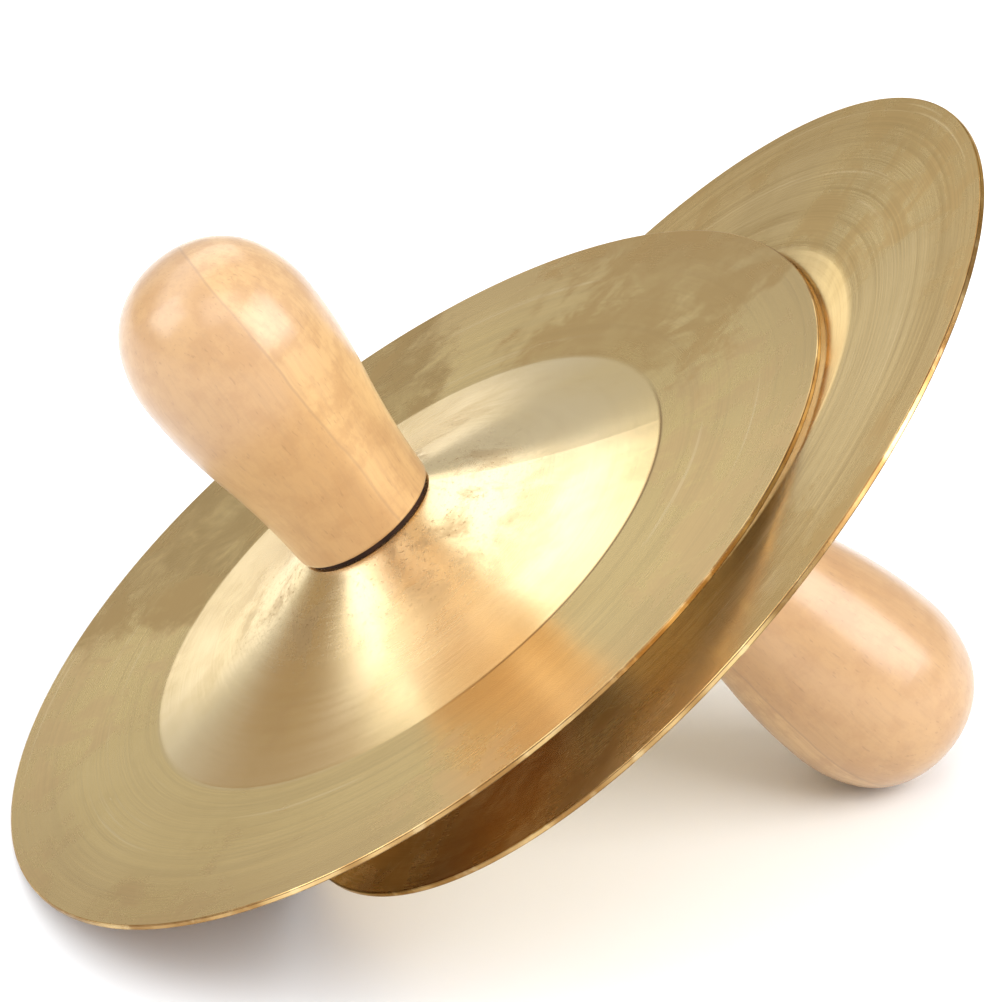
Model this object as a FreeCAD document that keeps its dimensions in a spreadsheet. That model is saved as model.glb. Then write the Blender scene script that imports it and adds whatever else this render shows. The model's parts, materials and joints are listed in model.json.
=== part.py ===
import FreeCAD, Part
import math
import os
import Sketcher

# A pair of brass hand cymbals with turned wooden handles, one leaning on the other on a table.
# Millimetres, +Z up.  The origin lies on the table, under the middle of the pair.
#
# Every piece is turned, pressed or cut about its cymbal's own axis, so each is drawn in a frame of
# its own: local +Z runs from the plate to the handle.  A Placement sets it at its height on that
# axis, and leans the axis over about the row's Y axis.

DOC = FreeCAD.newDocument("hand_cymbals")
VECTOR = FreeCAD.Vector

DIMENSIONS = {
    # brass plate
    "plate_radius": 75.0,
    "plate_thickness": 1.0,
    "bow_rise": 0.35,
    "bell_radius": 46.6,
    "bell_flank_curve": 150.0,
    "seat_radius": 11.6,
    "seat_height": 11.5,
    "plate_hole_radius": 3.25,
    "rim_rounding": 0.22,
    "inner_crease_rounding": 6.0,
    "outer_crease_rounding": 0.9,
    # leather washer between plate and handle
    "leather_radius": 10.9,
    "leather_hole_radius": 3.0,
    "leather_thickness": 0.8,
    # wooden handle
    "handle_base_radius": 11.9,
    "handle_belly_radius": 15.7,
    "handle_belly_height": 35.6,
    "handle_length": 52.4,
    "handle_waist_curve": 125.0,
    "handle_shoulder_curve": 84.0,
    "handle_flank_curve": 21.7,
    "handle_corner_curve": 12.8,
    "handle_nose_curve": 21.4,
    "handle_base_rounding": 0.8,
    "handle_bore_depth": 18.0,
    "drill_point_depth": 2.3,
    # threaded insert in the handle
    "insert_radius": 4.0,
    "insert_sink": 0.6,
    "insert_length": 13.0,
    "insert_slot_width": 1.2,
    "insert_slot_depth": 1.8,
    # washers and screw inside the bell
    "washer_radius": 7.5,
    "washer_hole_radius": 2.8,
    "washer_thickness": 1.2,
    "washer_chamfer": 0.25,
    "lock_washer_radius": 4.6,
    "lock_washer_thickness": 1.2,
    "lock_washer_gap": 1.0,
    "screw_radius": 2.5,
    "screw_length": 20.0,
    "screw_tip_chamfer": 0.6,
    "screw_head_radius": 5.0,
    "screw_head_height": 3.4,
    "screw_head_edge": 1.5,
    "screw_head_curve": 7.5,
    "recess_length": 5.4,
    "recess_width": 1.1,
    "recess_depth": 2.0,
    # how the pair rests on the table: tilt of each plate, place of its inner rim's centre
    "front_tilt": 31.59,
    "front_shift": -12.51,
    "front_height": 39.2,
    "rear_tilt": 43.6,
    "rear_shift": 21.75,
    "rear_height": 52.355,
}


def make_sheet():
    """Put every driving dimension in a spreadsheet, one row each."""
    sheet = DOC.addObject("Spreadsheet::Sheet", "dims")
    for row, (name, size) in enumerate(DIMENSIONS.items(), start=1):
        sheet.set(f"A{row}", name)
        sheet.set(f"B{row}", str(size))
        sheet.setAlias(f"B{row}", name)
    DOC.recompute()
    return sheet


SHEET = make_sheet()


def value(expression):
    """Work out an expression written in the driving dimensions, such as dims.plate_radius / 2."""
    return float(SHEET.evalExpression(expression.replace("dims.", "")))


# ---------------------------------------------------------------- drawing


def new_body(name):
    body = DOC.addObject("PartDesign::Body", name)
    body.Label = name
    return body


def new_sketch(body, name, role, height="0"):
    """A sketch on one of the body's origin planes, raised along the plane's normal."""
    sketch = body.newObject("Sketcher::SketchObject", name)
    plane = next(item for item in body.Origin.OriginFeatures if item.Role == role)
    sketch.AttachmentSupport = [(plane, "")]
    sketch.MapMode = "FlatFace"
    if height != "0":
        sketch.setExpression(".AttachmentOffset.Base.z", height)
    return sketch


def drawn_ends(sketch, edge):
    """Sketcher's numbers for the drawn start and end of an edge.

    Sketcher counts an arc's ends anticlockwise, so a clockwise arc has them the other way round.
    """
    shape = sketch.Geometry[edge]
    clockwise = isinstance(shape, Part.ArcOfCircle) and shape.Axis.z < 0
    return (2, 1) if clockwise else (1, 2)


def join_edges(sketch, first, second, smooth=False):
    """Join the drawn end of one edge to the drawn start of the next, in line if smooth."""
    kind = "Tangent" if smooth else "Coincident"
    end = drawn_ends(sketch, first)[1]
    start = drawn_ends(sketch, second)[0]
    sketch.addConstraint(Sketcher.Constraint(kind, first, end, second, start))


def pin_point(sketch, edge, end, across, up):
    """Hold a point of an edge at a place given by two expressions."""
    for kind, axis, expression in (("DistanceX", -2, across), ("DistanceY", -1, up)):
        if expression == "0":
            sketch.addConstraint(Sketcher.Constraint("PointOnObject", edge, end, axis))
            continue
        size = value(expression)
        index = sketch.addConstraint(Sketcher.Constraint(kind, -1, 1, edge, end, size))
        sketch.setExpression(f"Constraints[{index}]", expression)


def set_radius(sketch, edge, expression):
    index = sketch.addConstraint(Sketcher.Constraint("Radius", edge, value(expression)))
    sketch.setExpression(f"Constraints[{index}]", expression)


def arc_through(start, end, radius, side):
    """The short arc from start to end, with its centre to the left (+1) or right (-1) of them."""
    chord = end - start
    left = VECTOR(-chord.y, chord.x, 0).normalize()
    reach = math.sqrt(radius**2 - (chord.Length / 2) ** 2)
    crown = (start + end) * 0.5 - left * side * (radius - reach)
    return Part.Arc(start, crown, end)


def draw_outline(sketch, corners, arcs=None):
    """Close a loop through corners given as pairs of expressions.

    arcs names the edges that aren't straight, by the corner each starts from, with the
    expression for its radius and the side that its centre is on.
    """
    arcs = arcs or {}
    points = [VECTOR(value(across), value(up), 0) for across, up in corners]
    for index, start in enumerate(points):
        end = points[(index + 1) % len(points)]
        if index in arcs:
            radius, side = arcs[index]
            sketch.addGeometry(arc_through(start, end, value(radius), side), False)
        else:
            sketch.addGeometry(Part.LineSegment(start, end), False)
    for index in range(len(points)):
        join_edges(sketch, index, (index + 1) % len(points))
    for index, (across, up) in enumerate(corners):
        pin_point(sketch, index, drawn_ends(sketch, index)[0], across, up)
    for index, (radius, _) in arcs.items():
        set_radius(sketch, index, radius)


def draw_centred_box(sketch, half_length, half_width):
    """A rectangle about the sketch's origin, from expressions for half its sides."""
    draw_outline(
        sketch,
        [
            (f"-({half_length})", f"-({half_width})"),
            (half_length, f"-({half_width})"),
            (half_length, half_width),
            (f"-({half_length})", half_width),
        ],
    )


# ---------------------------------------------------------------- features


def turn(body, sketch, name):
    """Turn a sketch on the XZ plane a full circle about the body's Z axis."""
    feature = body.newObject("PartDesign::Revolution", name)
    feature.Profile = sketch
    feature.ReferenceAxis = (sketch, ["V_Axis"])
    feature.Angle = 360
    sketch.Visibility = False
    DOC.recompute()
    return feature


def cut_up(body, sketch, name, depth):
    """Cut a sketch on an XY plane into the metal above it."""
    before = body.Shape.Volume
    feature = body.newObject("PartDesign::Pocket", name)
    feature.Profile = sketch
    feature.Reversed = True
    feature.setExpression("Length", depth)
    sketch.Visibility = False
    DOC.recompute()
    if body.Shape.Volume >= before:
        raise RuntimeError(f"{name} cut nothing")
    return feature


def rings_at(shape, radius, height):
    """Names of the circular edges about the Z axis at a radius and a height."""
    names = []
    for number, edge in enumerate(shape.Edges, start=1):
        if edge.Degenerated or not isinstance(edge.Curve, Part.Circle):
            continue
        same_radius = abs(edge.Curve.Radius - value(radius)) < 0.01
        same_height = abs(edge.Curve.Center.z - value(height)) < 0.01
        if same_radius and same_height:
            names.append(f"Edge{number}")
    if not names:
        raise RuntimeError(f"no ring at radius {radius}, height {height}")
    return names


def round_rings(body, base, name, rings, size, kind="Fillet"):
    """Round or chamfer the edges that run in rings at the given radii and heights."""
    edges = [edge for radius, height in rings for edge in rings_at(base.Shape, radius, height)]
    feature = body.newObject(f"PartDesign::{kind}", name)
    feature.Base = (base, edges)
    feature.setExpression("Radius" if kind == "Fillet" else "Size", size)
    DOC.recompute()
    return feature


# ---------------------------------------------------------------- pieces


def make_plate(name):
    """Spun brass: a nearly flat bow, a crease, a hollow conical bell and a flat seat."""
    body = new_body(name)
    sketch = new_sketch(body, f"{name}_profile", "XZ_Plane")
    thickness = "dims.plate_thickness"
    inside = [
        ("dims.plate_hole_radius", "dims.seat_height"),
        ("dims.seat_radius", "dims.seat_height"),
        ("dims.bell_radius", "dims.bow_rise"),
        ("dims.plate_radius", "0"),
    ]
    outside = [
        (radius, thickness if height == "0" else f"{height} + {thickness}")
        for radius, height in reversed(inside)
    ]
    flank = "dims.bell_flank_curve"
    draw_outline(sketch, inside + outside, arcs={1: (flank, 1), 5: (flank, -1)})
    spun = turn(body, sketch, f"{name}_spun")
    creased = spun
    for face, height in (("inner", "dims.bow_rise"), ("outer", f"dims.bow_rise + {thickness}")):
        ring = [("dims.bell_radius", height)]
        rounding = f"dims.{face}_crease_rounding"
        creased = round_rings(body, creased, f"{name}_{face}_crease", ring, rounding)
    rims = [("dims.plate_radius", "0"), ("dims.plate_radius", thickness)]
    round_rings(body, creased, f"{name}_rims", rims, "dims.rim_rounding")
    return body


def make_ring(name, radius, hole_radius, thickness):
    """A flat ring with square edges, such as a washer."""
    body = new_body(name)
    sketch = new_sketch(body, f"{name}_profile", "XZ_Plane")
    corners = [(hole_radius, "0"), (radius, "0"), (radius, thickness), (hole_radius, thickness)]
    draw_outline(sketch, corners)
    return body, turn(body, sketch, f"{name}_ring")


def make_leather_washer(name):
    body, _ = make_ring(name, "dims.leather_radius", "dims.leather_hole_radius", "dims.leather_thickness")
    return body


def make_flat_washer(name):
    thickness = "dims.washer_thickness"
    radius = "dims.washer_radius"
    body, ring = make_ring(name, radius, "dims.washer_hole_radius", thickness)
    rings = [(radius, "0"), (radius, thickness)]
    round_rings(body, ring, f"{name}_edges", rings, "dims.washer_chamfer", "Chamfer")
    return body


def make_lock_washer(name):
    """A spring steel ring with a sawn gap."""
    thickness = "dims.lock_washer_thickness"
    radius = "dims.lock_washer_radius"
    body, _ = make_ring(name, radius, "dims.washer_hole_radius", thickness)
    sketch = new_sketch(body, f"{name}_gap_sketch", "XY_Plane")
    gap = "dims.lock_washer_gap / 2"
    draw_outline(
        sketch,
        [("0.5", f"-({gap})"), (f"{radius} + 1", f"-({gap})"), (f"{radius} + 1", gap), ("0.5", gap)],
    )
    cut_up(body, sketch, f"{name}_gap", thickness)
    return body


def meet(first, first_radius, second, second_radius, side):
    """Where two circles meet, to the left (+1) or right (-1) of the line between their centres."""
    line = second - first
    gap = line.Length
    along = (gap**2 + first_radius**2 - second_radius**2) / (2 * gap)
    aside = math.sqrt(first_radius**2 - along**2)
    line.normalize()
    return first + line * along + VECTOR(-line.y, line.x, 0) * side * aside


def handle_arcs():
    """The handle's side, base to nose, as tangent arcs: (start, end, radius expression, side)."""
    waist = value("dims.handle_waist_curve")
    shoulder = value("dims.handle_shoulder_curve")
    flank = value("dims.handle_flank_curve")
    corner = value("dims.handle_corner_curve")
    nose = value("dims.handle_nose_curve")
    base = VECTOR(value("dims.handle_base_radius"), 0, 0)
    belly = VECTOR(value("dims.handle_belly_radius"), value("dims.handle_belly_height"), 0)
    tip = VECTOR(0, value("dims.handle_length"), 0)

    shoulder_centre = belly - VECTOR(shoulder, 0, 0)
    waist_centre = meet(base, waist, shoulder_centre, waist + shoulder, -1)
    hollow_end = waist_centre + (shoulder_centre - waist_centre) * (waist / (waist + shoulder))

    flank_centre = belly - VECTOR(flank, 0, 0)
    nose_centre = tip - VECTOR(0, nose, 0)
    corner_centre = meet(flank_centre, flank - corner, nose_centre, nose - corner, 1)
    flank_end = corner_centre + (corner_centre - flank_centre).normalize() * corner
    corner_end = corner_centre + (corner_centre - nose_centre).normalize() * corner
    return [
        (base, hollow_end, "dims.handle_waist_curve", -1),
        (hollow_end, belly, "dims.handle_shoulder_curve", 1),
        (belly, flank_end, "dims.handle_flank_curve", 1),
        (flank_end, corner_end, "dims.handle_corner_curve", 1),
        (corner_end, tip, "dims.handle_nose_curve", 1),
    ]


def make_handle(name):
    """Turned wood: a slim waist, a full belly and a round nose, bored for the insert."""
    body = new_body(name)
    sketch = new_sketch(body, f"{name}_profile", "XZ_Plane")
    arcs = handle_arcs()
    for start, end, radius, side in arcs:
        sketch.addGeometry(arc_through(start, end, value(radius), side), False)
    base = arcs[0][0]
    tip = arcs[-1][1]
    bore = value("dims.insert_radius")
    depth = value("dims.handle_bore_depth")
    point = VECTOR(0, depth + value("dims.drill_point_depth"), 0)
    for start, end in (
        (tip, point),
        (point, VECTOR(bore, depth, 0)),
        (VECTOR(bore, depth, 0), VECTOR(bore, 0, 0)),
        (VECTOR(bore, 0, 0), base),
    ):
        sketch.addGeometry(Part.LineSegment(start, end), False)

    last_arc = len(arcs) - 1
    last_edge = sketch.GeometryCount - 1
    for edge in range(last_edge):
        join_edges(sketch, edge, edge + 1, smooth=edge < last_arc)
    join_edges(sketch, last_edge, 0)
    for edge, (_, _, radius, _) in enumerate(arcs):
        set_radius(sketch, edge, radius)
    pins = {
        0: ("dims.handle_base_radius", "0"),
        2: ("dims.handle_belly_radius", "dims.handle_belly_height"),
        last_arc + 1: ("0", "dims.handle_length"),
        last_arc + 2: ("0", "dims.handle_bore_depth + dims.drill_point_depth"),
        last_arc + 3: ("dims.insert_radius", "dims.handle_bore_depth"),
        last_arc + 4: ("dims.insert_radius", "0"),
    }
    for edge, (across, up) in pins.items():
        pin_point(sketch, edge, drawn_ends(sketch, edge)[0], across, up)
    turned = turn(body, sketch, f"{name}_turned")
    foot = [("dims.handle_base_radius", "0")]
    round_rings(body, turned, f"{name}_foot", foot, "dims.handle_base_rounding")
    return body


def make_insert(name):
    """A brass tube, threaded in the real part, with a slot to drive it by."""
    radius = "dims.insert_radius"
    body, _ = make_ring(name, radius, "dims.screw_radius", "dims.insert_length")
    sketch = new_sketch(body, f"{name}_slot_sketch", "XY_Plane")
    draw_centred_box(sketch, f"{radius} + 1", "dims.insert_slot_width / 2")
    cut_up(body, sketch, f"{name}_slot", "dims.insert_slot_depth")
    return body


def make_screw(name):
    """A pan head screw, head down, with its shank along +Z from the head's bearing face."""
    body = new_body(name)
    sketch = new_sketch(body, f"{name}_profile", "XZ_Plane")
    shank = "dims.screw_radius"
    tip = f"{shank} - dims.screw_tip_chamfer"
    shoulder = "dims.screw_length - dims.screw_tip_chamfer"
    corners = [
        ("0", "-(dims.screw_head_height)"),
        ("dims.screw_head_radius", "-(dims.screw_head_edge)"),
        ("dims.screw_head_radius", "0"),
        (shank, "0"),
        (shank, shoulder),
        (tip, "dims.screw_length"),
        ("0", "dims.screw_length"),
    ]
    draw_outline(sketch, corners, arcs={0: ("dims.screw_head_curve", 1)})
    turn(body, sketch, f"{name}_turned")
    half_length = "dims.recess_length / 2"
    half_width = "dims.recess_width / 2"
    bars = {"long": (half_length, half_width), "cross": (half_width, half_length)}
    for bar, (along, aside) in bars.items():
        slot = new_sketch(body, f"{name}_{bar}_slot", "XY_Plane", "-(dims.screw_head_height)")
        draw_centred_box(slot, along, aside)
        cut_up(body, slot, f"{name}_{bar}_cut", "dims.recess_depth")
    return body


# Each piece with its maker and the height of its own origin on the cymbal's axis, from the plane
# of the plate's inner rim.
HANDLE_FOOT = "dims.seat_height + dims.plate_thickness + dims.leather_thickness"
HEAD_SEAT = "dims.seat_height - dims.washer_thickness - dims.lock_washer_thickness"
PIECES = {
    "plate": (make_plate, "0"),
    "leather_washer": (make_leather_washer, "dims.seat_height + dims.plate_thickness"),
    "handle": (make_handle, HANDLE_FOOT),
    "handle_insert": (make_insert, f"{HANDLE_FOOT} + dims.insert_sink"),
    "flat_washer": (make_flat_washer, "dims.seat_height - dims.washer_thickness"),
    "lock_washer": (make_lock_washer, HEAD_SEAT),
    "screw": (make_screw, HEAD_SEAT),
}

# Each cymbal's frame: where its inner rim's centre is, and how far its axis turns about row Y.
# The front one's handle points up and back over -X; the rear one's points down to the table.
CYMBALS = {
    "front": ("dims.front_shift", "dims.front_height", "-(dims.front_tilt)"),
    "rear": ("dims.rear_shift", "dims.rear_height", "180 - dims.rear_tilt"),
}


def cymbal_frame(side):
    shift, height, turn_angle = CYMBALS[side]
    centre = VECTOR(value(shift), 0, value(height))
    return FreeCAD.Placement(centre, FreeCAD.Rotation(VECTOR(0, 1, 0), value(turn_angle)))


def check_document():
    """Stop if any feature failed or any body isn't one sound solid."""
    for item in DOC.Objects:
        if "Invalid" in item.State or "Error" in item.State:
            raise RuntimeError(f"{item.Label} is {item.State}")
        if item.TypeId == "Sketcher::SketchObject" and item.solve() != 0:
            raise RuntimeError(f"{item.Label} doesn't solve")
        if item.TypeId != "PartDesign::Body":
            continue
        if item.Shape.isNull() or not item.Shape.isValid() or len(item.Shape.Solids) != 1:
            raise RuntimeError(f"{item.Label} isn't one valid solid")


def main():
    bodies = []
    for side in CYMBALS:
        frame = cymbal_frame(side)
        for piece, (maker, height) in PIECES.items():
            body = maker(f"{side}_{piece}")
            step = FreeCAD.Placement(VECTOR(0, 0, value(height)), FreeCAD.Rotation())
            body.Placement = frame.multiply(step)
            bodies.append(body)
    DOC.recompute()
    check_document()
    os.makedirs("parts", exist_ok=True)
    for body in bodies:
        body.Shape.exportStep(f"parts/{body.Label}.step")
        box = body.Shape.BoundBox
        print(
            f"{body.Label}: {body.Shape.Volume:.1f} mm3, "
            f"x {box.XMin:.2f}..{box.XMax:.2f}, y {box.YMin:.2f}..{box.YMax:.2f}, "
            f"z {box.ZMin:.2f}..{box.ZMax:.2f}"
        )


main()
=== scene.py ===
import json
import math

import bpy
from mathutils import Matrix, Vector

MM = 0.001

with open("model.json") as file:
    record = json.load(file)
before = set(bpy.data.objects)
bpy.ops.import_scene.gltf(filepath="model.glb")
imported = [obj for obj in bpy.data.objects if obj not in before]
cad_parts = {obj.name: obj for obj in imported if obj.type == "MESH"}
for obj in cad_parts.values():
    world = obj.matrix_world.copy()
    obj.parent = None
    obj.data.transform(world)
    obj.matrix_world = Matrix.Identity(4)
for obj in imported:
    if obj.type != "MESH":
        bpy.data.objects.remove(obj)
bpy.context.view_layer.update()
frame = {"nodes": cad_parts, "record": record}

# Sizes from the CAD model that the materials line up with, in metres.
PLATE_RADIUS = 75 * MM
PLATE_THICKNESS = 1.0 * MM
BELL_RADIUS = 46.6 * MM
HANDLE_FOOT = 13.3 * MM

# How the two plates differ: the bow's clean colours, the tint of its glancing reflections, how
# clear its lathe lines are, and the stains on the face that shows, some partly painted shade.  Each
# stain has the middle and half angle of its sector about the axis in degrees, its colour and how much
# of the brass it hides.
PLATE_LOOKS = {
    "front": {
        "bow": ((0.83, 0.64, 0.31), (0.76, 0.585, 0.27)),
        "glancing": (0.95, 0.88, 0.75, 1.0),
        "lines": 0.7,
        "stains_and_shade": [
            # Partly painted shade: the handle's shade across the bow, laid over a brown stain.
            (115, 34, (0.41, 0.27, 0.105), 0.80),
            (42, 29, (0.58, 0.38, 0.15), 0.70),
        ],
    },
    "rear": {
        "bow": ((0.84, 0.685, 0.41), (0.77, 0.625, 0.36)),
        "glancing": (0.86, 0.70, 0.46, 1.0),
        "lines": 1.6,
        "stains_and_shade": [
            # Partly painted shade: the dark gap between the plates, laid over a brown stain on the
            # inside.
            (-35, 50, (0.33, 0.14, 0.02), 0.85),
            (-98, 32, (0.56, 0.40, 0.19), 0.55),
            (120, 40, (0.52, 0.40, 0.22), 0.35),
        ],
    },
}

# Colours that both plates share.
BELL_BRASS = ((0.885, 0.725, 0.45), (0.855, 0.685, 0.385))
BELL_BRASS_NEAR_CREASE = (0.82, 0.63, 0.31)
TARNISH = (0.62, 0.44, 0.22)
# The front plate's inside, low half: partly patina, partly painted shade of the gap between the
# plates.
INSIDE_PATINA_AND_SHADE = (0.40, 0.17, 0.03)
# Painted shade in the lathe's tool grooves.
LATHE_GROOVE_SHADE = (0.46, 0.335, 0.175)
SCRAPED_LINE = (0.92, 0.77, 0.50)
DIRT = (0.40, 0.26, 0.12)
CREASE_DARK = (0.26, 0.16, 0.07)
RIM_BRASS = (0.72, 0.50, 0.22)
RIM_BROWN = (0.32, 0.17, 0.055)
RIM_CHIP = (0.86, 0.70, 0.40)
# Painted shade along the rim's two corners.
RIM_CORNER_SHADE = (0.15, 0.08, 0.03)

# Colours of the handles' wood and of the leather washers.
OLDER_WOOD = (0.530, 0.312, 0.138)
NEWER_WOOD = (0.610, 0.378, 0.172)
WOOD_PATCH = (0.455, 0.250, 0.105)
WOOD_STREAK = (0.440, 0.245, 0.108)
WOOD_LAYER_LINE = (0.350, 0.200, 0.100)
WOOD_FIBRE = (0.395, 0.235, 0.115)
WOOD_PORE = (0.270, 0.145, 0.072)
LEATHER = ((0.020, 0.008, 0.005), (0.042, 0.017, 0.010))
LEATHER_GRAIN = (0.070, 0.036, 0.022)

# Each pair of colours that the hardware and the floor are mottled with.
ZINC_STEEL = ((0.62, 0.62, 0.64), (0.50, 0.50, 0.53))
TURNED_BRASS = ((0.80, 0.62, 0.32), (0.66, 0.49, 0.24))
FLOOR = ((0.87, 0.885, 0.905), (0.89, 0.905, 0.925))

# The room's colours, and its softboxes: name, azimuth, elevation and roll in degrees, distance and
# (width, height) in metres, and brightness.
DIM_ROOM = (0.60, 0.60, 0.60)
BRIGHT_ROOM = (0.95, 0.95, 0.95)
WARM_ROOM = (0.42, 0.31, 0.19)
SOFTBOXES = [
    ("back_softbox", -148, 47, 7, 1.3, (1.95, 0.92), 1.07),
    ("left_softbox", -82, 34, 0, 1.2, (0.75, 0.7), 2.7),
    ("right_softbox", 68, 32, 0, 1.2, (1.05, 0.75), 3.7),
    ("front_softbox", 10, 62, 0, 1.5, (1.3, 1.0), 1.3),
]


# ---------------------------------------------------------------- node helpers


class Nodes:
    """A thin layer over a node tree, so that a material reads as a list of steps."""

    def __init__(self, tree):
        self.tree = tree

    def add(self, kind, **settings):
        node = self.tree.nodes.new(kind)
        for name, setting in settings.items():
            setattr(node, name, setting)
        return node

    def feed(self, socket, source):
        """Link a socket, or set a plain number or colour on it."""
        if isinstance(source, bpy.types.NodeSocket):
            self.tree.links.new(source, socket)
        else:
            socket.default_value = source

    def math(self, operation, first, second=0.0, third=0.0, clamp=False):
        node = self.add("ShaderNodeMath", operation=operation, use_clamp=clamp)
        for socket, source in zip(node.inputs, (first, second, third)):
            self.feed(socket, source)
        return node.outputs[0]

    def vector(self, operation, first, second=(0, 0, 0)):
        node = self.add("ShaderNodeVectorMath", operation=operation)
        self.feed(node.inputs[0], first)
        self.feed(node.inputs[1], second)
        return node.outputs["Value" if operation in ("LENGTH", "DOT_PRODUCT") else "Vector"]

    def scaled(self, vector, factor):
        node = self.add("ShaderNodeVectorMath", operation="SCALE")
        self.feed(node.inputs[0], vector)
        self.feed(node.inputs["Scale"], factor)
        return node.outputs["Vector"]

    def split(self, vector):
        node = self.add("ShaderNodeSeparateXYZ")
        self.feed(node.inputs[0], vector)
        return node.outputs

    def join(self, x, y, z):
        node = self.add("ShaderNodeCombineXYZ")
        for socket, source in zip(node.inputs, (x, y, z)):
            self.feed(socket, source)
        return node.outputs[0]

    def noise(self, vector, scale=1.0, detail=2.0, roughness=0.5, distortion=0.0):
        node = self.add("ShaderNodeTexNoise", noise_dimensions="3D")
        self.feed(node.inputs["Vector"], vector)
        node.inputs["Scale"].default_value = scale
        node.inputs["Detail"].default_value = detail
        node.inputs["Roughness"].default_value = roughness
        node.inputs["Distortion"].default_value = distortion
        return node.outputs["Fac"]

    def ramp(self, source, low, high, to_low=0.0, to_high=1.0):
        """Stretch the range low..high to to_low..to_high, smoothly and with ends held."""
        node = self.add("ShaderNodeMapRange", interpolation_type="SMOOTHSTEP")
        for name, number in (
            ("From Min", low),
            ("From Max", high),
            ("To Min", to_low),
            ("To Max", to_high),
        ):
            node.inputs[name].default_value = number
        self.feed(node.inputs["Value"], source)
        return node.outputs[0]

    def band(self, source, centre, half_width):
        """One at the centre, falling smoothly to nothing half a width away."""
        away = self.math("ABSOLUTE", self.math("SUBTRACT", source, centre))
        return self.ramp(away, 0.0, half_width, 1.0, 0.0)

    def mix(self, factor, first, second):
        node = self.add("ShaderNodeMix", data_type="RGBA")
        self.feed(node.inputs["Factor"], factor)
        self.feed(node.inputs["A"], self.rgba(first))
        self.feed(node.inputs["B"], self.rgba(second))
        return node.outputs["Result"]

    @staticmethod
    def rgba(colour):
        return (*colour, 1.0) if isinstance(colour, tuple) and len(colour) == 3 else colour

    def bump(self, height, depth, strength=1.0, normal=None):
        node = self.add("ShaderNodeBump")
        node.inputs["Strength"].default_value = strength
        node.inputs["Distance"].default_value = depth
        self.feed(node.inputs["Height"], height)
        if normal is not None:
            self.feed(node.inputs["Normal"], normal)
        return node.outputs[0]


def new_material(name):
    """(material, node helper, Principled shader) of a new material."""
    material = bpy.data.materials.new(name)
    material.use_nodes = True
    tree = material.node_tree
    tree.nodes.clear()
    nodes = Nodes(tree)
    shader = nodes.add("ShaderNodeBsdfPrincipled")
    output = nodes.add("ShaderNodeOutputMaterial")
    tree.links.new(shader.outputs[0], output.inputs[0])
    return material, nodes, shader


# ---------------------------------------------------------------- the cymbals' own frames


def turning_axis(side):
    """(inner rim centre, unit axis towards the handle) of one cymbal, from its handle's joint."""
    joints = frame["record"]["behaviour"]["joints"]
    joint = next(item for item in joints if item["name"] == f"{side}_handle_turn")
    axis = Vector(joint["axis"]).normalized()
    return Vector(joint["pos_m"]) - axis * HANDLE_FOOT, axis


def lathe_frame(nodes, side):
    """A point's place about the cymbal's axis.

    Returns the local point (Z along the axis, from the inner rim plane), the distance from the axis,
    the local unit direction away from it, and that direction in the world, which runs across the
    tool marks.
    """
    centre, axis = turning_axis(side)
    spin = Vector((0, 0, 1)).rotation_difference(axis)
    place = nodes.add("ShaderNodeTexCoord").outputs["Object"]
    mapping = nodes.add("ShaderNodeMapping", vector_type="TEXTURE")
    mapping.inputs["Location"].default_value = centre
    mapping.inputs["Rotation"].default_value = spin.to_euler()
    nodes.feed(mapping.inputs["Vector"], place)
    local = mapping.outputs[0]
    x, y, _ = nodes.split(local)
    flat = nodes.join(x, y, 0.0)
    radius = nodes.vector("LENGTH", flat)
    outward = nodes.vector("NORMALIZE", flat)

    from_centre = nodes.vector("SUBTRACT", place, tuple(centre))
    around = nodes.vector("CROSS_PRODUCT", tuple(axis), from_centre)
    away = nodes.vector("CROSS_PRODUCT", around, tuple(axis))
    to_world = nodes.add(
        "ShaderNodeVectorTransform",
        vector_type="VECTOR",
        convert_from="OBJECT",
        convert_to="WORLD",
    )
    nodes.feed(to_world.inputs[0], away)
    across_marks = nodes.vector("NORMALIZE", to_world.outputs[0])
    return local, radius, outward, across_marks


# ---------------------------------------------------------------- materials


def ring_noise(nodes, outward, radius, pitch, wander, offset=0.0):
    """Noise drawn out round the axis: lines a pitch apart that fade in and out as they go round.

    A larger wander makes the lines shorter, and an offset gives other lines of the same kind.
    """
    x, y, _ = nodes.split(nodes.scaled(outward, wander))
    along = nodes.math("MULTIPLY_ADD", radius, 1.0 / pitch, offset)
    return nodes.noise(nodes.join(x, y, along), detail=3.0, roughness=0.6)


class PlateSurface:
    """Where a point lies on a plate, and the noises that the plate's material is built from."""

    def __init__(self, nodes, side):
        self.look = PLATE_LOOKS[side]
        self.local, self.radius, self.outward, self.across_marks = lathe_frame(nodes, side)
        _, axis = turning_axis(side)
        face = nodes.add("ShaderNodeTexCoord").outputs["Normal"]
        towards_handle = nodes.vector("DOT_PRODUCT", face, tuple(axis))
        self.inside = nodes.ramp(towards_handle, -0.3, 0.3, 1.0, 0.0)
        self.bell = nodes.ramp(self.radius, BELL_RADIUS - 0.8 * MM, BELL_RADIUS + 0.8 * MM, 1.0, 0.0)
        self.darker_side = nodes.vector("DOT_PRODUCT", self.outward, (0.82, -0.57, 0.0))

        self.fine = ring_noise(nodes, self.outward, self.radius, 0.30 * MM, wander=1.2)
        self.coarse = ring_noise(nodes, self.outward, self.radius, 1.4 * MM, wander=0.7, offset=17.0)
        self.clouds = nodes.noise(self.local, scale=30.0, detail=4.0, roughness=0.6, distortion=0.5)
        self.mottle = nodes.noise(self.local, scale=105.0, detail=6.0, roughness=0.66, distortion=0.4)
        self.grit = nodes.noise(self.local, scale=1300.0, detail=3.0, roughness=0.7)

        lines = self.look["lines"]
        self.line_contrast = nodes.ramp(self.bell, 0.0, 1.0, lines, 0.25 * lines)


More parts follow.
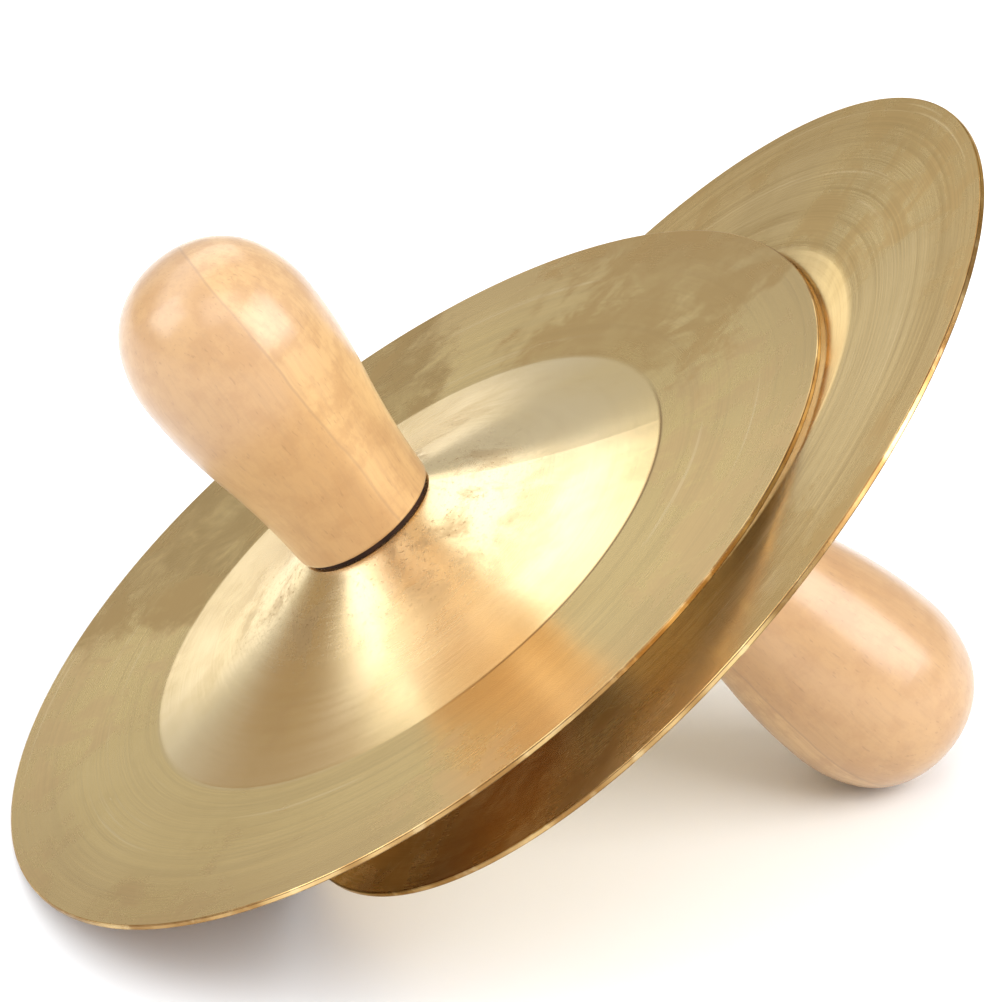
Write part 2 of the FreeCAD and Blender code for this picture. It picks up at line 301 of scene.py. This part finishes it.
def clean_brass(nodes, plate):
    """The bow's and the bell's own colours, the bow's a little tarnished all round by the rim."""
    cloudy = nodes.ramp(plate.clouds, 0.35, 0.65)
    bow = nodes.mix(cloudy, *plate.look["bow"])
    bell = nodes.mix(cloudy, *BELL_BRASS)
    near_crease = nodes.ramp(plate.radius, 34 * MM, BELL_RADIUS, 0.0, 0.6)
    near_crease = nodes.math("MULTIPLY", near_crease, nodes.ramp(plate.darker_side, 0.0, 0.6))
    bell = nodes.mix(near_crease, bell, BELL_BRASS_NEAR_CREASE)
    near_rim = nodes.ramp(plate.radius, 58 * MM, 74 * MM, 0.0, 0.45)
    return nodes.mix(near_rim, nodes.mix(plate.bell, bow, bell), TARNISH)


def tarnish_cover(nodes, plate):
    """Cloudy patches of tarnish, more of them towards the rim and fewer on the bell."""
    more = nodes.ramp(plate.radius, 50 * MM, 74 * MM)
    cloudier = nodes.math("MULTIPLY_ADD", more, 0.07, plate.clouds)
    cover = nodes.math(
        "MULTIPLY", nodes.ramp(plate.mottle, 0.42, 0.58), nodes.ramp(cloudier, 0.46, 0.60)
    )
    return nodes.math("MULTIPLY", cover, nodes.ramp(plate.bell, 0.0, 1.0, 0.7, 0.25))


def dirt_cover(nodes, plate):
    """Smudges and specks of dirt round the handle's foot."""
    near_handle = nodes.ramp(plate.radius, 14 * MM, 36 * MM, 1.0, 0.0)
    smudges = nodes.math("MULTIPLY", nodes.ramp(plate.mottle, 0.48, 0.66), near_handle)
    specks = nodes.math("MULTIPLY", nodes.ramp(plate.grit, 0.57, 0.66), near_handle)
    specks = nodes.math("MULTIPLY", specks, 0.50)
    return nodes.math("MULTIPLY_ADD", smudges, 0.65, specks, clamp=True)


def browned_and_shaded_inside(nodes, plate, colour):
    """Brown the low half of the front plate's inside, which is turned to the rear plate: partly
    patina, partly painted shade of the gap between the plates.
    """
    low_half = nodes.vector("DOT_PRODUCT", plate.outward, (-1.0, 0.0, 0.0))
    browned_and_shaded = nodes.math("MULTIPLY", nodes.ramp(low_half, -0.2, 0.5, 0.0, 0.9), plate.inside)
    return nodes.mix(browned_and_shaded, colour, INSIDE_PATINA_AND_SHADE)


def lathe_lines(nodes, plate, colour):
    """Painted shade in the tool grooves round the axis, as dark lines, and a few scraped bright
    lines.
    """
    lines = nodes.math("MULTIPLY", nodes.ramp(plate.fine, 0.40, 0.66), 0.22)
    lines = nodes.math("MULTIPLY_ADD", nodes.ramp(plate.coarse, 0.48, 0.66), 0.22, lines)
    lines = nodes.math("MULTIPLY", lines, plate.line_contrast)
    scraped = nodes.ramp(plate.coarse, 0.30, 0.36, 0.5, 0.0)
    scraped = nodes.math("MULTIPLY", scraped, plate.line_contrast)
    return nodes.mix(scraped, nodes.mix(lines, colour, LATHE_GROOVE_SHADE), SCRAPED_LINE)


def stained_and_shaded(nodes, plate, shown_face, colour):
    """Lay the plate's stains over the bow's shown face, each a sector with a soft, cloudy edge; some
    are partly painted shade.
    """
    uneven = nodes.math("MULTIPLY_ADD", plate.clouds, 0.45, -0.39)
    uneven = nodes.math("MULTIPLY_ADD", plate.mottle, 0.33, uneven)
    on_bow = nodes.math("MULTIPLY", shown_face, nodes.math("SUBTRACT", 1.0, plate.bell))
    wiped = nodes.math("MULTIPLY", nodes.ramp(plate.mottle, 0.36, 0.58, 0.65, 1.0), on_bow)
    for middle, half_angle, stain_and_shade, strength in plate.look["stains_and_shade"]:
        turn = math.radians(middle)
        spread = math.radians(half_angle)
        middle_direction = (math.cos(turn), math.sin(turn), 0.0)
        towards = nodes.vector("DOT_PRODUCT", plate.outward, middle_direction)
        towards = nodes.math("ADD", towards, uneven)
        cover = nodes.ramp(towards, math.cos(1.05 * spread), math.cos(0.7 * spread), 0.0, strength)
        colour = nodes.mix(nodes.math("MULTIPLY", cover, wiped), colour, stain_and_shade)
    return colour


def darkened_crease(nodes, plate, colour):
    """Darken the scribed crease, most on one side of the bell."""
    crease = nodes.band(plate.radius, BELL_RADIUS, 0.48 * MM)
    crease = nodes.math("MULTIPLY", crease, nodes.ramp(plate.darker_side, 0.55, 0.90, 0.0, 0.9))
    return nodes.mix(crease, colour, CREASE_DARK)


def worn_and_shaded_rim(nodes, plate, colour):
    """Brown the rim in blotches, with painted shade as a dark line along each corner, broken by
    bright chips.
    """
    _, _, height = nodes.split(plate.local)
    from_middle = nodes.math("ABSOLUTE", nodes.math("SUBTRACT", height, PLATE_THICKNESS / 2))
    on_rim = nodes.ramp(plate.radius, PLATE_RADIUS - 0.28 * MM, PLATE_RADIUS - 0.12 * MM)
    # The corner lines are painted shade, not wear.
    corner = nodes.math("MULTIPLY", nodes.band(from_middle, 0.36 * MM, 0.12 * MM), on_rim)
    chips = nodes.ramp(nodes.noise(plate.local, scale=260.0, detail=4.0), 0.52, 0.68)
    corner = nodes.math("MULTIPLY", corner, nodes.math("MULTIPLY_ADD", chips, -0.5, 1.0))
    blotches = nodes.ramp(nodes.noise(plate.local, scale=60.0, detail=3.0), 0.32, 0.58)
    rim = nodes.mix(blotches, RIM_BRASS, RIM_BROWN)
    rim = nodes.mix(nodes.math("MULTIPLY", chips, 0.3), rim, RIM_CHIP)
    rimmed = nodes.mix(on_rim, colour, rim)
    return nodes.mix(nodes.math("MULTIPLY", corner, 0.92), rimmed, RIM_CORNER_SHADE)


def brass_roughness(nodes, plate, tarnish, dirt):
    """Satin brass, smoothest on the bell and dullest under the dirt."""
    dull = nodes.ramp(plate.bell, 0.0, 1.0, 0.22, 0.19)
    dull = nodes.math("MULTIPLY_ADD", nodes.ramp(plate.clouds, 0.4, 0.7), 0.04, dull)
    dull = nodes.math("MULTIPLY_ADD", tarnish, 0.08, dull)
    dull = nodes.math("MULTIPLY_ADD", dirt, 0.22, dull)
    return nodes.math("MULTIPLY_ADD", nodes.ramp(plate.fine, 0.3, 0.7), 0.04, dull, clamp=True)


def brass_normal(nodes, plate):
    """Faint swells, shallow tool rings and the finest grit."""
    swell = nodes.noise(plate.local, scale=45.0, detail=1.0)
    rings = nodes.math("MULTIPLY_ADD", plate.coarse, 2.0, plate.fine)
    rings = nodes.math("MULTIPLY", rings, plate.line_contrast)
    normal = nodes.bump(swell, 0.30 * MM)
    normal = nodes.bump(rings, 0.008 * MM, normal=normal)
    return nodes.bump(plate.grit, 0.002 * MM, normal=normal)


def brass(side):
    """Spun brass plate: fine lathe lines with painted shade in their grooves, cloudy tarnish, smudges
    by the handle, stains and a browned inside that are partly painted shade, a darkened crease, a
    worn rim with painted shade along its corners.
    """
    material, nodes, shader = new_material(f"{side}_spun_brass")
    plate = PlateSurface(nodes, side)
    tarnish = tarnish_cover(nodes, plate)
    dirt = dirt_cover(nodes, plate)
    colour = nodes.mix(tarnish, clean_brass(nodes, plate), TARNISH)
    shown_face = plate.inside
    if side == "front":
        colour = browned_and_shaded_inside(nodes, plate, colour)
        shown_face = nodes.math("SUBTRACT", 1.0, plate.inside)
    colour = lathe_lines(nodes, plate, colour)
    colour = stained_and_shaded(nodes, plate, shown_face, colour)
    colour = nodes.mix(dirt, colour, DIRT)
    colour = darkened_crease(nodes, plate, colour)
    colour = worn_and_shaded_rim(nodes, plate, colour)

    shader.inputs["Metallic"].default_value = 1.0
    shader.inputs["Specular Tint"].default_value = plate.look["glancing"]
    shader.inputs["Anisotropic"].default_value = 0.65
    nodes.feed(shader.inputs["Base Color"], colour)
    nodes.feed(shader.inputs["Roughness"], brass_roughness(nodes, plate, tarnish, dirt))
    nodes.feed(shader.inputs["Normal"], brass_normal(nodes, plate))
    nodes.feed(shader.inputs["Tangent"], plate.across_marks)
    return material


def lacquered_wood(side):
    """Turned pale hardwood: growth layers, long fine grain, short pores, a clear satin coat."""
    material, nodes, shader = new_material(f"{side}_turned_wood")
    local, _, _, _ = lathe_frame(nodes, side)
    _, y, z = nodes.split(local)
    wander = nodes.noise(nodes.join(0.0, 0.0, z), scale=55.0, detail=4.0)
    wander = nodes.math("MULTIPLY_ADD", wander, 2.4 * MM, -1.2 * MM)
    across_layers = (0.951, 0.309, 0.0)
    depth = nodes.math("ADD", nodes.vector("DOT_PRODUCT", local, across_layers), wander)

    def along_grain(across, lengthwise):
        return nodes.join(
            nodes.math("MULTIPLY", depth, across),
            nodes.math("MULTIPLY", y, across),
            nodes.math("MULTIPLY", z, lengthwise),
        )

    fibres = nodes.noise(along_grain(1500.0, 60.0), detail=4.0, roughness=0.65)
    streaks = nodes.noise(along_grain(300.0, 14.0), detail=3.0, roughness=0.55)
    patches = nodes.noise(local, scale=170.0, detail=5.0, roughness=0.65)
    pores = nodes.noise(along_grain(2300.0, 480.0), detail=1.0)

    # One wide growth layer ends a little off the middle, and its last wood is a thin dark line.
    layer_edge = 3.8 * MM
    newer = nodes.ramp(depth, layer_edge - 0.5 * MM, layer_edge + 0.1 * MM)
    colour = nodes.mix(newer, OLDER_WOOD, NEWER_WOOD)
    colour = nodes.mix(nodes.ramp(patches, 0.42, 0.62, 0.0, 0.60), colour, WOOD_PATCH)
    colour = nodes.mix(nodes.ramp(streaks, 0.45, 0.72, 0.0, 0.35), colour, WOOD_STREAK)
    line = nodes.math("MULTIPLY", nodes.band(depth, layer_edge, 0.40 * MM), 0.55)
    colour = nodes.mix(line, colour, WOOD_LAYER_LINE)
    colour = nodes.mix(nodes.ramp(fibres, 0.45, 0.70, 0.0, 0.25), colour, WOOD_FIBRE)
    dark_pores = nodes.ramp(pores, 0.66, 0.76, 0.0, 0.30)
    colour = nodes.mix(dark_pores, colour, WOOD_PORE)

    roughness = nodes.ramp(fibres, 0.3, 0.8, 0.42, 0.56)
    normal = nodes.bump(fibres, 0.015 * MM, strength=0.5)
    normal = nodes.bump(dark_pores, -0.02 * MM, strength=0.5, normal=normal)

    nodes.feed(shader.inputs["Base Color"], colour)
    nodes.feed(shader.inputs["Roughness"], roughness)
    nodes.feed(shader.inputs["Normal"], normal)
    shader.inputs["IOR"].default_value = 1.48
    shader.inputs["Coat Weight"].default_value = 1.0
    shader.inputs["Coat Roughness"].default_value = 0.23
    shader.inputs["Coat IOR"].default_value = 1.5
    return material


def dark_leather(side):
    """Dark dyed leather with a fine grain, barely shining."""
    material, nodes, shader = new_material(f"{side}_washer_leather")
    local, _, _, _ = lathe_frame(nodes, side)
    grain = nodes.noise(local, scale=2200.0, detail=4.0, roughness=0.7)
    mottle = nodes.noise(local, scale=260.0, detail=3.0)
    base = nodes.mix(nodes.ramp(mottle, 0.35, 0.7), *LEATHER)
    colour = nodes.mix(nodes.ramp(grain, 0.5, 0.8, 0.0, 0.5), base, LEATHER_GRAIN)
    nodes.feed(shader.inputs["Base Color"], colour)
    nodes.feed(shader.inputs["Roughness"], nodes.ramp(grain, 0.3, 0.8, 0.6, 0.85))
    nodes.feed(shader.inputs["Normal"], nodes.bump(grain, 0.08 * MM))
    shader.inputs["Specular IOR Level"].default_value = 0.25
    return material


def machined_metal(side, name, colours, groove_pitch):
    """Turned hardware: tool rings about the axis, dull spots in the plating, fine scratches."""
    material, nodes, shader = new_material(f"{side}_{name}")
    local, radius, outward, across_marks = lathe_frame(nodes, side)
    rings = ring_noise(nodes, outward, radius, groove_pitch, wander=2.0)
    spots = nodes.noise(local, scale=420.0, detail=4.0, roughness=0.65)
    scratches = nodes.noise(local, scale=2600.0, detail=2.0)
    pale, deep = colours
    base = nodes.mix(nodes.ramp(rings, 0.3, 0.7), pale, deep)
    dulled = tuple(0.6 * channel for channel in deep)
    colour = nodes.mix(nodes.ramp(spots, 0.55, 0.75, 0.0, 0.5), base, dulled)
    rough = nodes.math("MULTIPLY_ADD", nodes.ramp(spots, 0.4, 0.7), 0.18, 0.24)
    rough = nodes.math("MULTIPLY_ADD", nodes.ramp(scratches, 0.5, 0.8), 0.12, rough)
    shader.inputs["Metallic"].default_value = 1.0
    shader.inputs["Anisotropic"].default_value = 0.4
    nodes.feed(shader.inputs["Base Color"], colour)
    nodes.feed(shader.inputs["Roughness"], rough)
    nodes.feed(shader.inputs["Normal"], nodes.bump(rings, 0.006 * MM))
    nodes.feed(shader.inputs["Tangent"], across_marks)
    return material


def dress_pieces():
    """Give every CAD piece its own procedural material."""
    for side in ("front", "rear"):
        steel = machined_metal(side, "zinc_steel", ZINC_STEEL, groove_pitch=0.2 * MM)
        insert = machined_metal(side, "turned_brass", TURNED_BRASS, groove_pitch=0.25 * MM)
        looks = {
            "plate": brass(side),
            "handle": lacquered_wood(side),
            "leather_washer": dark_leather(side),
            "handle_insert": insert,
            "flat_washer": steel,
            "lock_washer": steel,
            "screw": steel,
        }
        for piece, material in looks.items():
            mesh = frame["nodes"][f"{side}_{piece}"].data
            mesh.materials.clear()
            mesh.materials.append(material)


# ---------------------------------------------------------------- stage, lights and camera


def view_axes(azimuth, elevation, roll=0.0):
    """(right, up, back) unit vectors of a camera; azimuth 0 looks along +Y.  Angles in degrees."""
    turn, rise, lean = (math.radians(angle) for angle in (azimuth, elevation, roll))
    right = Vector((math.cos(turn), math.sin(turn), 0.0))
    back = Vector((math.sin(turn) * math.cos(rise), -math.cos(turn) * math.cos(rise), math.sin(rise)))
    up = back.cross(right)
    return (
        right * math.cos(lean) + up * math.sin(lean),
        up * math.cos(lean) - right * math.sin(lean),
        back,
    )


def pose_matrix(right, up, back, place):
    """The matrix that puts an object at a place, with its own X, Y and Z along these directions."""
    rows = Matrix((right, up, back)).transposed().to_4x4()
    return Matrix.Translation(place) @ rows


def make_floor():
    """A large pale floor with the faintest mottling."""
    reach = 6.0
    mesh = bpy.data.meshes.new("studio_floor")
    corners = [(-reach, -reach, 0), (reach, -reach, 0), (reach, reach, 0), (-reach, reach, 0)]
    mesh.from_pydata(corners, [], [(0, 1, 2, 3)])
    floor = bpy.data.objects.new("studio_floor", mesh)
    bpy.context.collection.objects.link(floor)
    material, nodes, shader = new_material("pale_floor")
    place = nodes.add("ShaderNodeTexCoord").outputs["Object"]
    mottle = nodes.noise(place, scale=6.0, detail=3.0)
    colour = nodes.mix(mottle, *FLOOR)
    nodes.feed(shader.inputs["Base Color"], colour)
    shader.inputs["Roughness"].default_value = 0.85
    mesh.materials.append(material)


def add_softbox(name, azimuth, elevation, roll, distance, size, brightness):
    """A white rectangular light that faces the pair, as bright as a white card is at 1."""
    data = bpy.data.lights.new(name, "AREA")
    data.shape = "RECTANGLE"
    data.size, data.size_y = size
    data.energy = 4.0 * brightness * size[0] * size[1]
    light = bpy.data.objects.new(name, data)
    bpy.context.collection.objects.link(light)
    right, up, back = view_axes(azimuth, elevation, roll)
    middle_height = Vector((0, 0, 50 * MM))
    light.matrix_world = pose_matrix(right, up, back, middle_height + back * distance)


def make_lights():
    """A room that is brightest behind the camera, with a warm patch on the left, and softboxes."""
    world = bpy.data.worlds.new("studio")
    world.use_nodes = True
    nodes = Nodes(world.node_tree)
    world.node_tree.nodes.clear()
    background = nodes.add("ShaderNodeBackground")
    output = nodes.add("ShaderNodeOutputWorld")
    world.node_tree.links.new(background.outputs[0], output.inputs[0])
    direction = nodes.add("ShaderNodeTexCoord").outputs["Generated"]
    _, _, warm_side = view_axes(-124, 14)
    _, _, camera_side = view_axes(0, 20)
    towards_warm = nodes.vector("DOT_PRODUCT", direction, tuple(warm_side))
    warm = nodes.ramp(towards_warm, math.cos(math.radians(22)), math.cos(math.radians(6)))
    towards_camera = nodes.vector("DOT_PRODUCT", direction, tuple(camera_side))
    room = nodes.mix(nodes.ramp(towards_camera, 0.0, 0.8), DIM_ROOM, BRIGHT_ROOM)
    nodes.feed(background.inputs["Color"], nodes.mix(warm, room, WARM_ROOM))
    bpy.context.scene.world = world

    for softbox in SOFTBOXES:
        add_softbox(*softbox)


def make_camera():
    """A long lens that looks down at the pair by thirty degrees, tipped a little to one side."""
    azimuth, elevation, roll = 1.31, 30.19, -3.47
    distance = 1.825
    aim = Vector((1.54, 0.40, 51.5)) * MM
    data = bpy.data.cameras.new("camera")
    data.sensor_width = 36.0
    data.lens = 431.1
    data.clip_start = 0.1
    data.clip_end = 20.0
    camera = bpy.data.objects.new("camera", data)
    bpy.context.collection.objects.link(camera)
    right, up, back = view_axes(azimuth, elevation, roll)
    camera.matrix_world = pose_matrix(right, up, back, aim + back * distance)
    bpy.context.scene.camera = camera


dress_pieces()
make_floor()
make_lights()
make_camera()
bpy.context.scene.view_settings.view_transform = "Standard"

bpy.context.view_layer.update()
